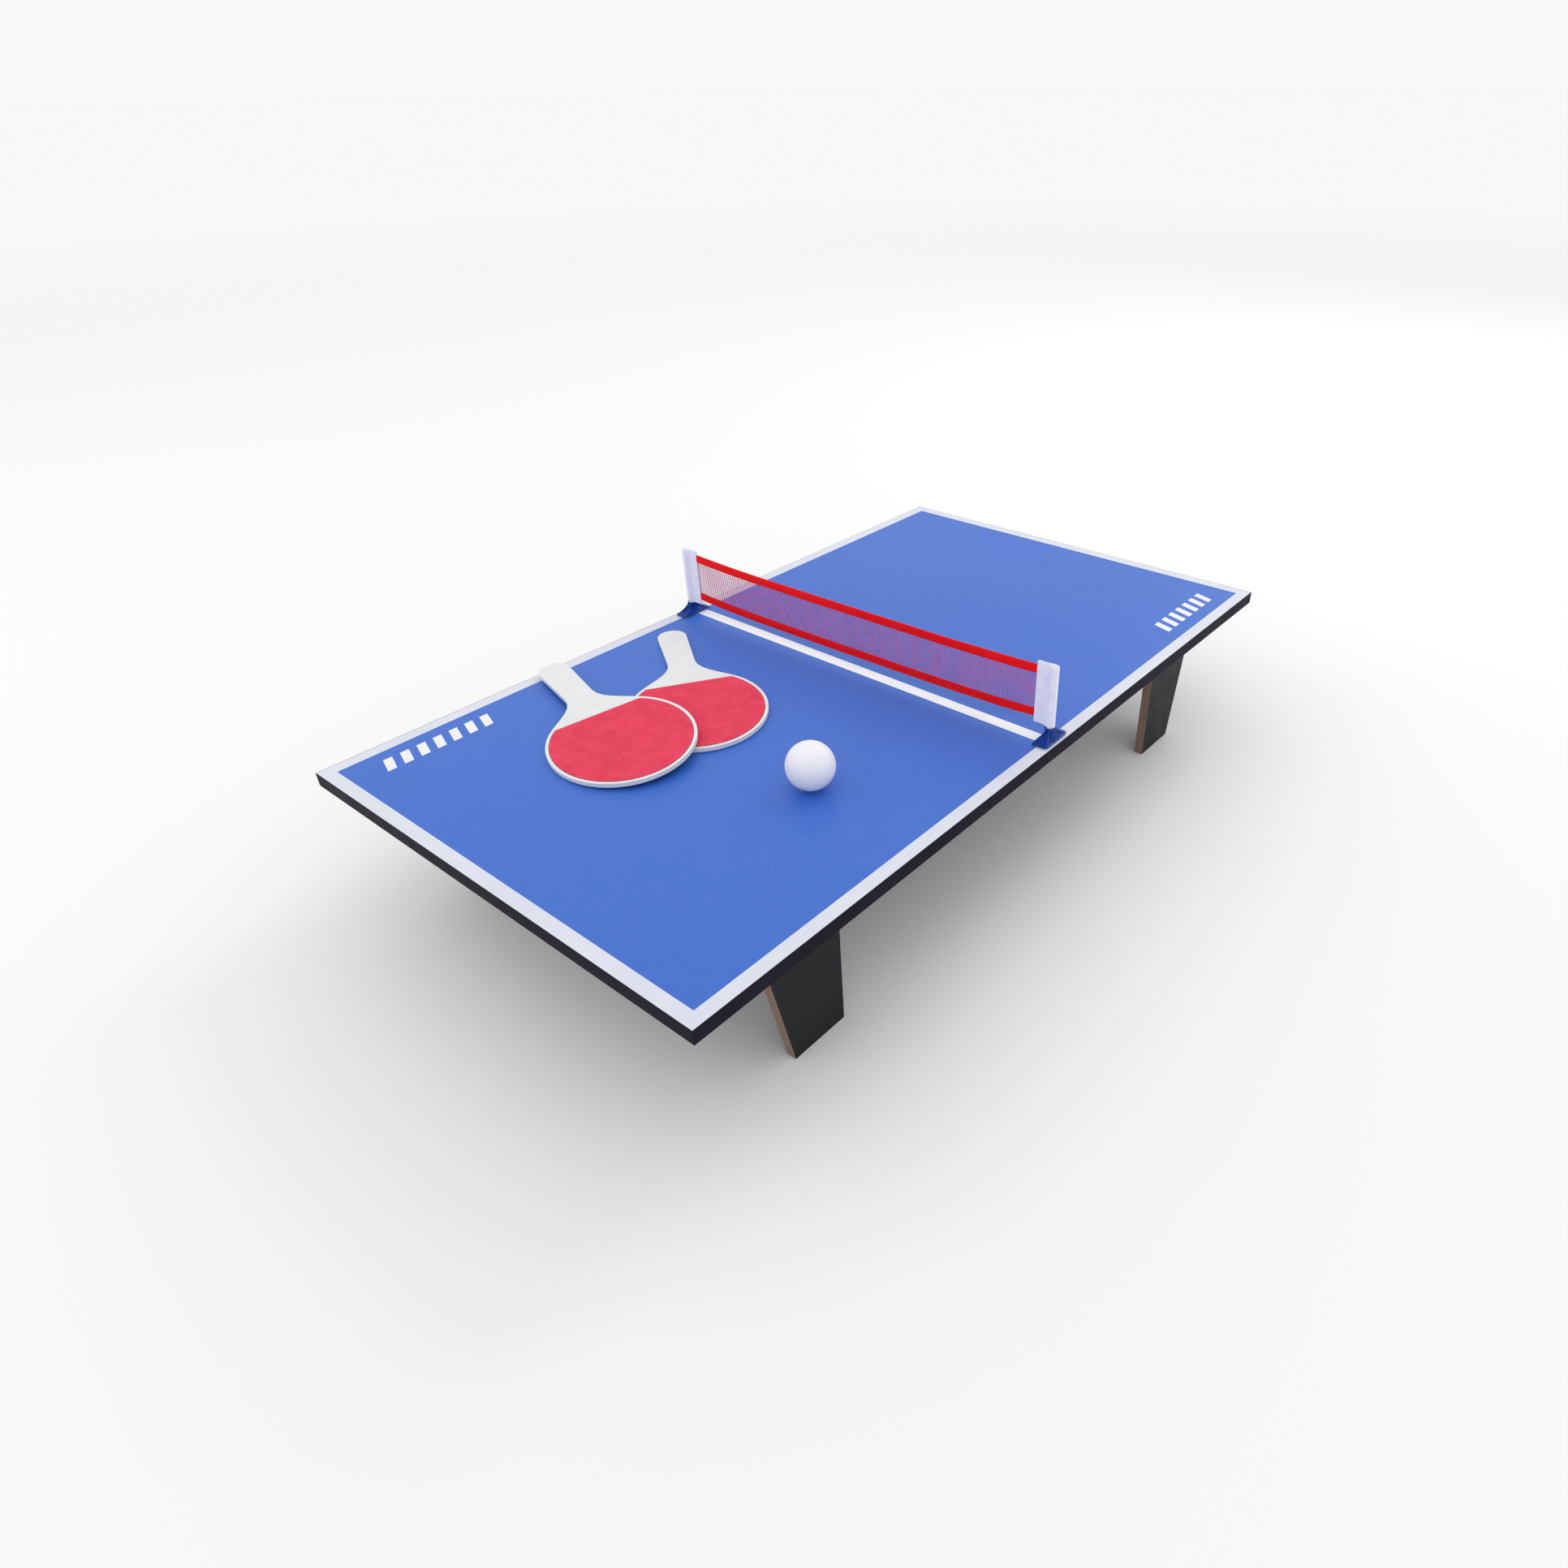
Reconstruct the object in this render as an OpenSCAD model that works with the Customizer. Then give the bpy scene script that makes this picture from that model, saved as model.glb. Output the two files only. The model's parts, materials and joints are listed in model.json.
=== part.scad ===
// Table-top ping pong set: a low table with a printed court, four folding board
// legs, a lift-out net, two bats and a ball. +X runs along the table's length,
// +Y across it, and the origin is on the floor under the middle of the table.

/* [Table] */
// Length of the table top
table_l = 800; // [600:10:1200]
// Width of the table top
table_w = 450; // [350:10:700]
// Thickness of the whole table top
top_t = 12; // [9:1:20]
// Length of the legs, floor to underside
leg_h = 125; // [80:5:200]

/* [Court] */
// Width of the boundary and centre lines
line_w = 12; // [8:1:20]
// Distance of the centre line behind the middle of the table
centre_x = 6; // [0:1:20]
// Thickness of the court foil
foil_t = 0.5; // [0.3:0.1:1.0]
// Thickness of the edge banding
band_t = 0.5; // [0.4:0.1:1.5]
// Number of slanted bars in each printed mark
mark_bars = 7; // [3:1:9]

/* [Legs] */
// Thickness of a leg board
leg_t = 9; // [6:1:12]
// Width of a leg where it meets the top
leg_top_w = 79; // [60:1:100]
// Width of a leg at the floor
leg_foot_w = 54; // [40:1:60]
// Distance from the middle of the table to a leg's upright edge
leg_in_x = 240; // [200:5:280]
// Inset of a leg's outer face from the long edge
leg_inset = 28; // [20:1:50]
// Length of a leg's hinge
hinge_l = 50; // [40:5:60]

/* [Net] */
// Distance of the net's middle behind the middle of the table
net_x = 4; // [0:1:20]
// Turn of the net on the table, in degrees
net_turn = 1.3; // [0:0.1:2]
// Distance from the middle of the table to a net post
post_y = 215; // [200:1:215]
// Diameter of a net post
post_d = 6; // [5:0.5:7]
// Height of the top tape's ends over the court
net_h = 66; // [50:1:90]
// Width of the woven tapes
tape_w = 8; // [6:1:12]
// How far the top tape hangs down in the middle
net_sag = 2.5; // [1:0.5:6]

/* [Bats and ball] */
// Greatest width of a blade
blade_w = 123; // [100:1:150]
// Thickness of a bat's rim
bat_t = 4; // [3.5:0.5:8]
// Width of the rim around the rubber
rim_w = 3; // [2:0.5:8]
// Diameter of the ball
ball_d = 40; // [36:1:40]

/* [Hidden] */
$fn = 64;
eps = 0.01;

// Heights through the table top
backing_t = 0.4;
top_z = leg_h + top_t;
core_z0 = leg_h + backing_t;
core_z1 = top_z - foil_t;
half_l = table_l / 2;
half_w = table_w / 2;

// Printed marks: a row of slanted bars near two of the long edges' ends
mark_t = 0.05;
mark_h = 19;
mark_step = 15;
mark_bar_w = 8;
mark_slant = 6;
mark_x = 310;
mark_y = 190;

// Legs and hinges: the knuckle sits in the corner between leg and underside
hinge_r = 2;
pin_d = 2;
pin_fit = 0.05;
leaf_t = 1;
leaf_w = 20;
knuckles = 5;
knuckle_gap = 0.3;
leg_gap = 0.3;
leg_y0 = half_w - leg_inset - leg_t;
hinge_y = leg_y0 - hinge_r;
hinge_z = leg_h - hinge_r;
hinge_from_edge = 39;
hinge_x = leg_in_x + hinge_from_edge;
screw_d = 2.8;
screw_head_d = 5;
screw_l = 8;
table_screw_x = [-18, 0, 18];
leg_screw_x = [-10, 10];
screw_in = 13;

// Net
pad_t = 0.8;
pad_z = top_z;
base_l = 35;
base_w = 15;
base_h = 11;
base_plate_t = 1.6;
base_z = pad_z + pad_t;
boss_d = 9;
pad_inset = 1;
post_fit = 0.15;
socket_floor = 2;
post_z = base_z + socket_floor;
sleeve_rise = 13;
sleeve_z = top_z + sleeve_rise;
sleeve_h = 57;
sleeve_w = 20;
sleeve_t = 7.6;
sleeve_fit = 0.1;
sleeve_past_post = 16;
sleeve_in_y = post_y - sleeve_past_post;
post_top_in = 3;
post_top_z = sleeve_z + sleeve_h - post_top_in;
tape_t = 1.6;
tape_low_z = 17.5;
low_sag = 3.5;
net_cloth_t = 0.8;
net_steps = 16;
net_ys = [for (i = [-net_steps : net_steps]) i * sleeve_in_y / net_steps];

// Bats, each drawn about the middle of its blade with the handle towards +Y
blade_a = blade_w / 2;
blade_stretch = 1.124;
blade_b = blade_a * blade_stretch;
shoulder_a = 34.5;
shoulder_pull = [0.64 * blade_a, 58.9];
neck_pull_y = 68;
neck_y = 92;
neck_a = 12.9;
grip_a = 14.1;
grip_y = 150.6;
rubber_a = blade_a - rim_w;
rubber_b = blade_b - rim_w;
rubber_cut_y = 49;
cut_a = asin(rubber_cut_y / rubber_b);
rubber_gap = 0.1;
pocket_d = 0.8;
rubber_proud = 0.5;
rubber_t = pocket_d + rubber_proud;
bat_low = rubber_proud + 0.05;
lower_bat = [-141.4, 53, -32.6];

// The upper bat leans from the court onto the lower bat's rim
upper_bat = [-218.8, 60.8, -14.9];
rim_top = bat_low + bat_t;
lean_run = 68;
upper_tilt = -atan(rim_top / lean_run);
upper_lift = 0.81 * rim_top + 0.82;
ball_xy = [-167, -106];
ball_gap = 0.05;

// ---- helpers ----

// Children moved to the table corner with signs sx and sy; every corner part is
// drawn for +X, +Y and mirrored there.
module at_corner(sx, sy) {
    mirror([sx < 0 ? 1 : 0, 0, 0]) mirror([0, sy < 0 ? 1 : 0, 0]) children();
}

// A bar from corner lo to corner hi
module bar(lo, hi) {
    translate(lo) cube(hi - lo);
}

// A rod along X
module rod_x(d, x0, x1) {
    translate([x0, 0, 0]) rotate([0, 90, 0]) cylinder(d = d, h = x1 - x0);
}

// A countersunk screw, head face at z = 0, pointing up
module screw() {
    cylinder(d1 = screw_head_d, d2 = screw_d, h = leaf_t);
    translate([0, 0, leaf_t - eps]) cylinder(d = screw_d, h = screw_l - leaf_t);
}

// ---- table top ----

// Screw places on the underside of the top, one group per corner
module table_screws() {
    for (sx = [-1, 1], sy = [-1, 1])
        at_corner(sx, sy)
            for (x = table_screw_x)
                translate([hinge_x + x, hinge_y - screw_in, leg_h - leaf_t]) screw();
}

module board_core() color([0.62, 0.50, 0.42])
    difference() {
        bar([band_t - half_l, band_t - half_w, core_z0], [half_l - band_t, half_w - band_t, core_z1]);
        table_screws();
    }

module backing_foil() color([0.12, 0.12, 0.14])
    difference() {
        bar([band_t - half_l, band_t - half_w, leg_h], [half_l - band_t, half_w - band_t, core_z0]);
        table_screws();
    }

// The blue foil, in two courts
module court_foil() color([0.30, 0.48, 0.82])
    for (side = [-1, 1])
        scale([side, 1, 1])
            bar([line_w / 2 + side * centre_x, line_w - half_w, core_z1],
                [half_l - line_w, half_w - line_w, top_z]);

// One mitred line strip along a table edge: turn 0 is the back edge, and length
// is that edge's own, at the given distance from the table's middle
module boundary_line(turn, length, distance) color([0.93, 0.94, 0.97])
    rotate(turn) translate([0, distance, core_z1]) linear_extrude(foil_t)
        polygon([[-length / 2 + band_t, -band_t], [length / 2 - band_t, -band_t],
            [length / 2 - line_w, -line_w], [-length / 2 + line_w, -line_w]]);

module centre_line() color([0.95, 0.95, 0.97])
    translate([centre_x, 0, 0])
        bar([-line_w / 2, line_w - half_w, core_z1], [line_w / 2, half_w - line_w, top_z]);

// A row of slanted printed bars
module mark() {
    for (i = [0 : mark_bars - 1])
        translate([(i - (mark_bars - 1) / 2) * mark_step, 0, 0]) linear_extrude(mark_t)
            polygon([[-mark_bar_w - mark_slant, -mark_h] / 2, [mark_bar_w - mark_slant, -mark_h] / 2,
                [mark_bar_w + mark_slant, mark_h] / 2, [mark_slant - mark_bar_w, mark_h] / 2]);
}

module court_marks() color([0.96, 0.96, 0.97])
    for (turn = [0, 180])
        rotate(turn) translate([mark_x, -mark_y, top_z]) mark();

module edge_band_long(side) color([0.10, 0.10, 0.12])
    scale([1, side, 1]) bar([-half_l, half_w - band_t, leg_h], [half_l, half_w, top_z]);

module edge_band_short(side) color([0.10, 0.10, 0.12])
    scale([side, 1, 1])
        bar([half_l - band_t, band_t - half_w, leg_h], [half_l, half_w - band_t, top_z]);

// ---- folding legs ----

// A leg board: upright inner edge, outer edge raked in towards the floor
module leg() color([0.16, 0.16, 0.18])
    difference() {
        translate([0, leg_y0 + leg_t, 0]) rotate([90, 0, 0]) linear_extrude(leg_t)
            polygon([[leg_in_x, 0], [leg_in_x + leg_foot_w, 0],
                [leg_in_x + leg_top_w, leg_h - leg_gap], [leg_in_x, leg_h - leg_gap]]);
        leg_screws();
    }

module leg_screws() color([0.75, 0.75, 0.77])
    for (x = leg_screw_x)
        translate([hinge_x + x, leg_y0 - leaf_t, hinge_z - screw_in]) rotate([-90, 0, 0]) screw();

// Segment k of the barrel, from x0 to x1 along the hinge
function seg_x0(k) = hinge_x - hinge_l / 2 + k * hinge_l / knuckles + (k > 0 ? knuckle_gap / 2 : 0);
function seg_x1(k) = hinge_x - hinge_l / 2 + (k + 1) * hinge_l / knuckles
    - (k < knuckles - 1 ? knuckle_gap / 2 : 0);

// Every second knuckle, starting at the given one
module barrel(first, bore) {
    for (k = [first : 2 : knuckles - 1])
        translate([0, hinge_y, hinge_z]) difference() {
            rod_x(2 * hinge_r, seg_x0(k), seg_x1(k));
            rod_x(bore, seg_x0(k) - 1, seg_x1(k) + 1);
        }
}

// The space that the other leaf's knuckles turn in
module barrel_room(first) {
    for (k = [first : 2 : knuckles - 1])
        translate([0, hinge_y, hinge_z])
            rod_x(2 * (hinge_r + knuckle_gap), seg_x0(k) - knuckle_gap, seg_x1(k) + knuckle_gap);
}

module hinge_table_leaf() color([0.78, 0.78, 0.80]) {
    barrel(0, pin_d);
    difference() {
        bar([hinge_x - hinge_l / 2, hinge_y - leaf_w, leg_h - leaf_t],
            [hinge_x + hinge_l / 2, hinge_y, leg_h]);
        barrel_room(1);
        rod_at_hinge(pin_d);
        table_screws();
    }
}

module hinge_leg_leaf() color([0.78, 0.78, 0.80]) {
    barrel(1, pin_d + 2 * pin_fit);
    difference() {
        bar([hinge_x - hinge_l / 2, leg_y0 - leaf_t, hinge_z - leaf_w],
            [hinge_x + hinge_l / 2, leg_y0, hinge_z]);
        barrel_room(0);
        rod_at_hinge(pin_d + 2 * pin_fit);
        leg_screws();
    }
}

module rod_at_hinge(d) {
    translate([0, hinge_y, hinge_z]) rod_x(d, hinge_x - hinge_l, hinge_x + hinge_l);
}

module hinge_pin() color([0.70, 0.70, 0.72])
    translate([0, hinge_y, hinge_z]) rod_x(pin_d, hinge_x - hinge_l / 2, hinge_x + hinge_l / 2);

module table_hinge_screws() color([0.75, 0.75, 0.77]) table_screws();

// ---- net ----

// The net stands a little askew across the table
module askew() {
    rotate(net_turn) children();
}

module net_pad() color([0.88, 0.88, 0.86])
    bar([net_x - base_l / 2 + pad_inset, post_y - base_w / 2 + pad_inset, pad_z],
        [net_x + base_l / 2 - pad_inset, post_y + base_w / 2 - pad_inset, base_z]);

// A profile that sweeps up from a wide foot to the narrow boss
module flare(width, depth) {
    run = width / 2 - boss_d / 2;
    rise = base_h - base_plate_t;
    rotate([90, 0, 0]) linear_extrude(depth, center = true) {
        polygon(concat([[-width / 2, 0], [width / 2, 0], [width / 2, base_plate_t]],
            [for (a = [10 : 10 : 80])
                [boss_d / 2 + run * (1 - sin(a)), base_plate_t + rise * (1 - cos(a))]],
            [[boss_d / 2, base_h], [-boss_d / 2, base_h]],
            [for (a = [80 : -10 : 10])
                [-boss_d / 2 - run * (1 - sin(a)), base_plate_t + rise * (1 - cos(a))]],
            [[-width / 2, base_plate_t]]));
    }
}

module net_base() color([0.08, 0.25, 0.65])
    translate([net_x, post_y, base_z]) difference() {
        intersection() {
            flare(base_l, base_w);
            rotate(90) flare(base_w, base_l);
        }
        translate([0, 0, post_z - base_z]) cylinder(d = post_d + 2 * post_fit, h = base_h);
    }

module net_post() color([0.85, 0.85, 0.88])
    translate([net_x, post_y, post_z]) cylinder(d = post_d, h = post_top_z - post_z);

// A flat cloth sleeve with room for the post, closed at the top
module net_sleeve() color([0.90, 0.90, 0.95])
    difference() {
        sleeve_body();
        translate([net_x, post_y, sleeve_z - 1])
            cylinder(d = post_d + 2 * sleeve_fit, h = post_top_z + sleeve_fit - sleeve_z + 1);
    }

module sleeve_body() {
    translate([net_x, sleeve_in_y + sleeve_w / 2, sleeve_z]) linear_extrude(sleeve_h) {
        square([sleeve_t, sleeve_w - sleeve_t], center = true);
        for (side = [-1, 1])
            translate([0, side * (sleeve_w - sleeve_t) / 2]) circle(d = sleeve_t);
    }
}

// Drop of the net at distance y from its middle: flat, rising near the posts
function drop(y, sag) = -sag * (1 - pow(abs(y) / sleeve_in_y, 4));

// A band of cloth between a lower and an upper edge line
module net_band(low_z, low_s, high_z, high_s, t) {
    translate([net_x - t / 2, 0, top_z]) rotate([90, 0, 90]) linear_extrude(t)
        polygon(concat([for (y = net_ys) [y, low_z + drop(y, low_s)]],
            [for (i = [len(net_ys) - 1 : -1 : 0]) [net_ys[i], high_z + drop(net_ys[i], high_s)]]));
}

module net_top_tape() color([0.86, 0.05, 0.08])
    net_band(net_h - tape_w, net_sag, net_h, net_sag, tape_t);

module net_bottom_tape() color([0.86, 0.05, 0.08])
    net_band(tape_low_z, low_sag, tape_low_z + tape_w, low_sag, tape_t);

module net_mesh() color([0.70, 0.45, 0.62])
    net_band(tape_low_z + tape_w, low_sag, net_h - tape_w, net_sag, net_cloth_t);

// ---- bats ----

function bezier(p, t) = pow(1 - t, 3) * p[0] + 3 * pow(1 - t, 2) * t * p[1]
    + 3 * (1 - t) * t * t * p[2] + pow(t, 3) * p[3];

// Right-hand side of a bat's outline, from the blade's end up to the handle's end
neck_curve = [[blade_a * cos(shoulder_a), blade_b * sin(shoulder_a)], shoulder_pull,
    [neck_a, neck_pull_y], [neck_a, neck_y]];
bat_side = concat(
    [for (a = [-90 : 5 : 30]) [blade_a * cos(a), blade_b * sin(a)]],
    [for (i = [0 : 8]) bezier(neck_curve, i / 8)],
    [for (a = [0 : 15 : 75]) [grip_a * cos(a), grip_y + grip_a * sin(a)]]);

module bat_outline() {
    polygon(concat(bat_side, [[0, grip_y + grip_a]],
        [for (i = [len(bat_side) - 1 : -1 : 1]) [-bat_side[i][0], bat_side[i][1]]]));
}

// Rubber outline: the blade's oval less the rim, cut straight across under the handle
module rubber_outline(grow) {
    polygon([for (i = [0 : 60])
        let (a = cut_a - i * (180 + 2 * cut_a) / 60)
        [(rubber_a + grow) * cos(a), (rubber_b + grow) * sin(a)]]);
}

module bat_body() color([0.92, 0.93, 0.94])
    difference() {
        linear_extrude(bat_t) bat_outline();
        translate([0, 0, -1]) linear_extrude(1 + pocket_d) rubber_outline(rubber_gap);
        translate([0, 0, bat_t - pocket_d]) linear_extrude(1 + pocket_d) rubber_outline(rubber_gap);
    }

module front_rubber() color([0.88, 0.25, 0.36])
    translate([0, 0, bat_t - pocket_d]) linear_extrude(rubber_t) rubber_outline(0);

module back_rubber() color([0.88, 0.25, 0.36])
    translate([0, 0, pocket_d - rubber_t]) linear_extrude(rubber_t) rubber_outline(0);

// The lower bat lies flat on the court
module place_lower() {
    translate([lower_bat[0], lower_bat[1], top_z + bat_low]) rotate(lower_bat[2]) children();
}

// The upper bat leans on the lower one
module place_upper() {
    translate([upper_bat[0], upper_bat[1], top_z + upper_lift]) rotate(upper_bat[2])
        rotate([0, upper_tilt, 0]) children();
}

module ball() color([0.94, 0.94, 0.97])
    translate([ball_xy[0], ball_xy[1], top_z + ball_gap + ball_d / 2]) sphere(d = ball_d);

// ---- the parts ----

board_core();
court_foil();
boundary_line(180, table_l, half_w);  // boundary_line_front
boundary_line(0, table_l, half_w);  // boundary_line_back
boundary_line(90, table_w, half_l);  // boundary_line_left
boundary_line(270, table_w, half_l);  // boundary_line_right
centre_line();
court_marks();
backing_foil();
edge_band_long(-1);  // edge_band_front
edge_band_long(1);  // edge_band_back
edge_band_short(-1);  // edge_band_left
edge_band_short(1);  // edge_band_right
at_corner(-1, -1) leg();  // leg_front_left
at_corner(1, -1) leg();  // leg_front_right
at_corner(-1, 1) leg();  // leg_back_left
at_corner(1, 1) leg();  // leg_back_right
at_corner(-1, -1) hinge_table_leaf();  // hinge_table_leaf_front_left
at_corner(1, -1) hinge_table_leaf();  // hinge_table_leaf_front_right
at_corner(-1, 1) hinge_table_leaf();  // hinge_table_leaf_back_left
at_corner(1, 1) hinge_table_leaf();  // hinge_table_leaf_back_right
at_corner(-1, -1) hinge_leg_leaf();  // hinge_leg_leaf_front_left
at_corner(1, -1) hinge_leg_leaf();  // hinge_leg_leaf_front_right
at_corner(-1, 1) hinge_leg_leaf();  // hinge_leg_leaf_back_left
at_corner(1, 1) hinge_leg_leaf();  // hinge_leg_leaf_back_right
at_corner(-1, -1) hinge_pin();  // hinge_pin_front_left
at_corner(1, -1) hinge_pin();  // hinge_pin_front_right
at_corner(-1, 1) hinge_pin();  // hinge_pin_back_left
at_corner(1, 1) hinge_pin();  // hinge_pin_back_right
at_corner(-1, -1) leg_screws();  // leg_screws_front_left
at_corner(1, -1) leg_screws();  // leg_screws_front_right
at_corner(-1, 1) leg_screws();  // leg_screws_back_left
at_corner(1, 1) leg_screws();  // leg_screws_back_right
table_hinge_screws();
askew() at_corner(1, -1) net_pad();  // net_pad_front
askew() at_corner(1, 1) net_pad();  // net_pad_back
askew() at_corner(1, -1) net_base();  // net_base_front
askew() at_corner(1, 1) net_base();  // net_base_back
askew() at_corner(1, -1) net_post();  // net_post_front
askew() at_corner(1, 1) net_post();  // net_post_back
askew() at_corner(1, -1) net_sleeve();  // net_sleeve_front
askew() at_corner(1, 1) net_sleeve();  // net_sleeve_back
askew() net_mesh();
askew() net_top_tape();
askew() net_bottom_tape();
place_lower() bat_body();  // lower_bat_body
place_lower() front_rubber();  // lower_bat_front_rubber
place_lower() back_rubber();  // lower_bat_back_rubber
place_upper() bat_body();  // upper_bat_body
place_upper() front_rubber();  // upper_bat_front_rubber
place_upper() back_rubber();  // upper_bat_back_rubber
ball();
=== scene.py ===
# %% [markdown]
# # A table-top ping pong set
# The set is a low table with a printed court, four folding board legs, a net on two posts, two bats and
# a ball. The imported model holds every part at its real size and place, in metres. This script gives each
# part the shape and finish that it has on the bench: softened edges, real threads in the net, pimples on
# the rubber, stitches in the cloth.

# %% Load the frame
import json
import math

import bmesh
import bpy
from mathutils import Matrix, Quaternion, Vector, noise

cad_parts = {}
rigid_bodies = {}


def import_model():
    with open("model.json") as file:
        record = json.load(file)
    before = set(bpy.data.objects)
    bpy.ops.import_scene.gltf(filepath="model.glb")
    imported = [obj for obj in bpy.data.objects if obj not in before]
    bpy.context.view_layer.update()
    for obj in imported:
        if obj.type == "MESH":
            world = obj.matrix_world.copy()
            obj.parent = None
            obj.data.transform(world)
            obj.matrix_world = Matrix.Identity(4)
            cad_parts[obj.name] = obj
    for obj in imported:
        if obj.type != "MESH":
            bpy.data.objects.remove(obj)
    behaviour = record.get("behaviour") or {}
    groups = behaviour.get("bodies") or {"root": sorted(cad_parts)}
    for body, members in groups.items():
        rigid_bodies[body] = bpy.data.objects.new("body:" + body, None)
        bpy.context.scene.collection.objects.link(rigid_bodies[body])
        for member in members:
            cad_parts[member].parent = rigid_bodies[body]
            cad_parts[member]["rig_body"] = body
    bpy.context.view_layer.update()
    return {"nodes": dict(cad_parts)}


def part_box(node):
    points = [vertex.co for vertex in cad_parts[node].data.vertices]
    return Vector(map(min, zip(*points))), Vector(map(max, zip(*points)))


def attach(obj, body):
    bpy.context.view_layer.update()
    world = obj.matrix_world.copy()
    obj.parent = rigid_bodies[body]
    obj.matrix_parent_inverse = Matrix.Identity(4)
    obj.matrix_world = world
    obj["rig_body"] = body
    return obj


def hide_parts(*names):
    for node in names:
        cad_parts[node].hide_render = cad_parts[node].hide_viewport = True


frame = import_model()
scene = bpy.context.scene
MM = 0.001
CORNERS = ["front_left", "front_right", "back_left", "back_right"]
EDGES = ["front", "back", "left", "right"]

# %% [markdown]
# ## Camera
# A product picture of a table like this is taken from a standing person's side, close to one corner, with
# a wide lens. A camera object could be aimed with a tracking constraint, but three angles are easier to
# read: how far round the table it stands, how high, and how much it is rolled.

# %% Place the camera
CAMERA_PLACE = (-0.66115, -0.59478, 0.60258)
turn, height, roll = (math.radians(a) for a in (-50.842, 33.833, -0.674))
back = Vector((math.sin(turn) * math.cos(height), -math.cos(turn) * math.cos(height), math.sin(height)))
camera = bpy.data.objects.new("camera", bpy.data.cameras.new("camera"))
camera.data.sensor_width = 36.0
camera.data.lens = 24.303
camera.data.shift_x = -0.0719
camera.location = CAMERA_PLACE
camera.rotation_mode = "QUATERNION"
camera.rotation_quaternion = (-back).to_track_quat("-Z", "Y") @ Quaternion((0, 0, 1), roll)
scene.collection.objects.link(camera)
scene.camera = camera
print("camera is", round(camera.location.length, 3), "m from the middle of the floor")

# %% [markdown]
# ## Floor and light
# Small goods are shot on white paper under large soft lamps. One wide plane is the paper, the world is a
# pale room of nearly the same brightness, so that no horizon shows, and two square lamps stand in for the
# soft boxes: one from behind on the left and one from the far end, so that the ball throws two faint
# shadows. The lamps light the middle of the paper more, so its tone is a little deeper there, and the
# ground looks even. Seen from below, the paper lets the view through, for a look at the underside.

# %% Make the floor and the lamps
FLOOR_HALF = 60.0
# PAPER_NEAR is a painted shade: the paper is darker near the table, where the lamps light it more
PAPER_NEAR, PAPER_FAR = (0.92, 0.92, 0.92, 1), (0.99, 0.99, 0.99, 1)
NEAR_END, FAR_START = 1.2, 6.0
ROOM = (1.0, 1.0, 1.0, 1)
ROOM_STRENGTH = 0.945
LAMPS = {"lamp_left": ((-1.3, 1.5, 1.7), 1.2, 4.2), "lamp_far": ((2.2, -0.2, 1.8), 1.0, 10.0)}


def build_floor():
    bm = bmesh.new()
    bmesh.ops.create_grid(bm, x_segments=1, y_segments=1, size=FLOOR_HALF)
    mesh = bpy.data.meshes.new("floor")
    bm.to_mesh(mesh)
    bm.free()
    floor = bpy.data.objects.new("floor", mesh)
    scene.collection.objects.link(floor)
    paper = bpy.data.materials.new("studio_paper")
    paper.use_nodes = True
    tree = paper.node_tree
    place = tree.nodes.new("ShaderNodeTexCoord")
    away = tree.nodes.new("ShaderNodeVectorMath")
    away.operation = "LENGTH"
    far = tree.nodes.new("ShaderNodeMapRange")
    far.inputs["From Min"].default_value = NEAR_END
    far.inputs["From Max"].default_value = FAR_START
    tone = tree.nodes.new("ShaderNodeMix")
    tone.data_type = "RGBA"
    tone.inputs[6].default_value = PAPER_NEAR
    tone.inputs[7].default_value = PAPER_FAR
    tree.links.new(place.outputs["Object"], away.inputs[0])
    tree.links.new(away.outputs["Value"], far.inputs["Value"])
    tree.links.new(far.outputs[0], tone.inputs[0])
    tree.links.new(tone.outputs[2], tree.nodes["Principled BSDF"].inputs["Base Color"])
    tree.nodes["Principled BSDF"].inputs["Roughness"].default_value = 0.9
    tree.nodes["Principled BSDF"].inputs["Specular IOR Level"].default_value = 0.1
    clear = tree.nodes.new("ShaderNodeBsdfTransparent")
    side = tree.nodes.new("ShaderNodeNewGeometry")
    either = tree.nodes.new("ShaderNodeMixShader")
    tree.links.new(side.outputs["Backfacing"], either.inputs[0])
    tree.links.new(tree.nodes["Principled BSDF"].outputs[0], either.inputs[1])
    tree.links.new(clear.outputs[0], either.inputs[2])
    tree.links.new(either.outputs[0], tree.nodes["Material Output"].inputs[0])
    mesh.materials.append(paper)


def build_lamp(name, place, size, power):
    lamp = bpy.data.objects.new(name, bpy.data.lights.new(name, "AREA"))
    lamp.data.size = size
    lamp.data.energy = power
    lamp.location = place
    lamp.rotation_euler = (-Vector(place)).to_track_quat("-Z", "Y").to_euler()
    scene.collection.objects.link(lamp)


build_floor()
for lamp_name, (place, size, power) in LAMPS.items():
    build_lamp(lamp_name, place, size, power)
scene.world = bpy.data.worlds.new("room")
scene.world.use_nodes = True
scene.world.node_tree.nodes["Background"].inputs["Color"].default_value = ROOM
scene.world.node_tree.nodes["Background"].inputs["Strength"].default_value = ROOM_STRENGTH
scene.view_settings.view_transform = "Standard"
print("lamps:", len(LAMPS))

# %% [markdown]
# ## Tools for shader nodes
# A finish is a small graph of nodes. Two helpers keep the graphs short to write: one places a node and
# fills its inputs with numbers or with other nodes' outputs, and one opens a node group whose outputs are
# masks or heights. Colours are mixed in the materials, because only masks and heights come out of groups.

# %% Node helpers


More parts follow.
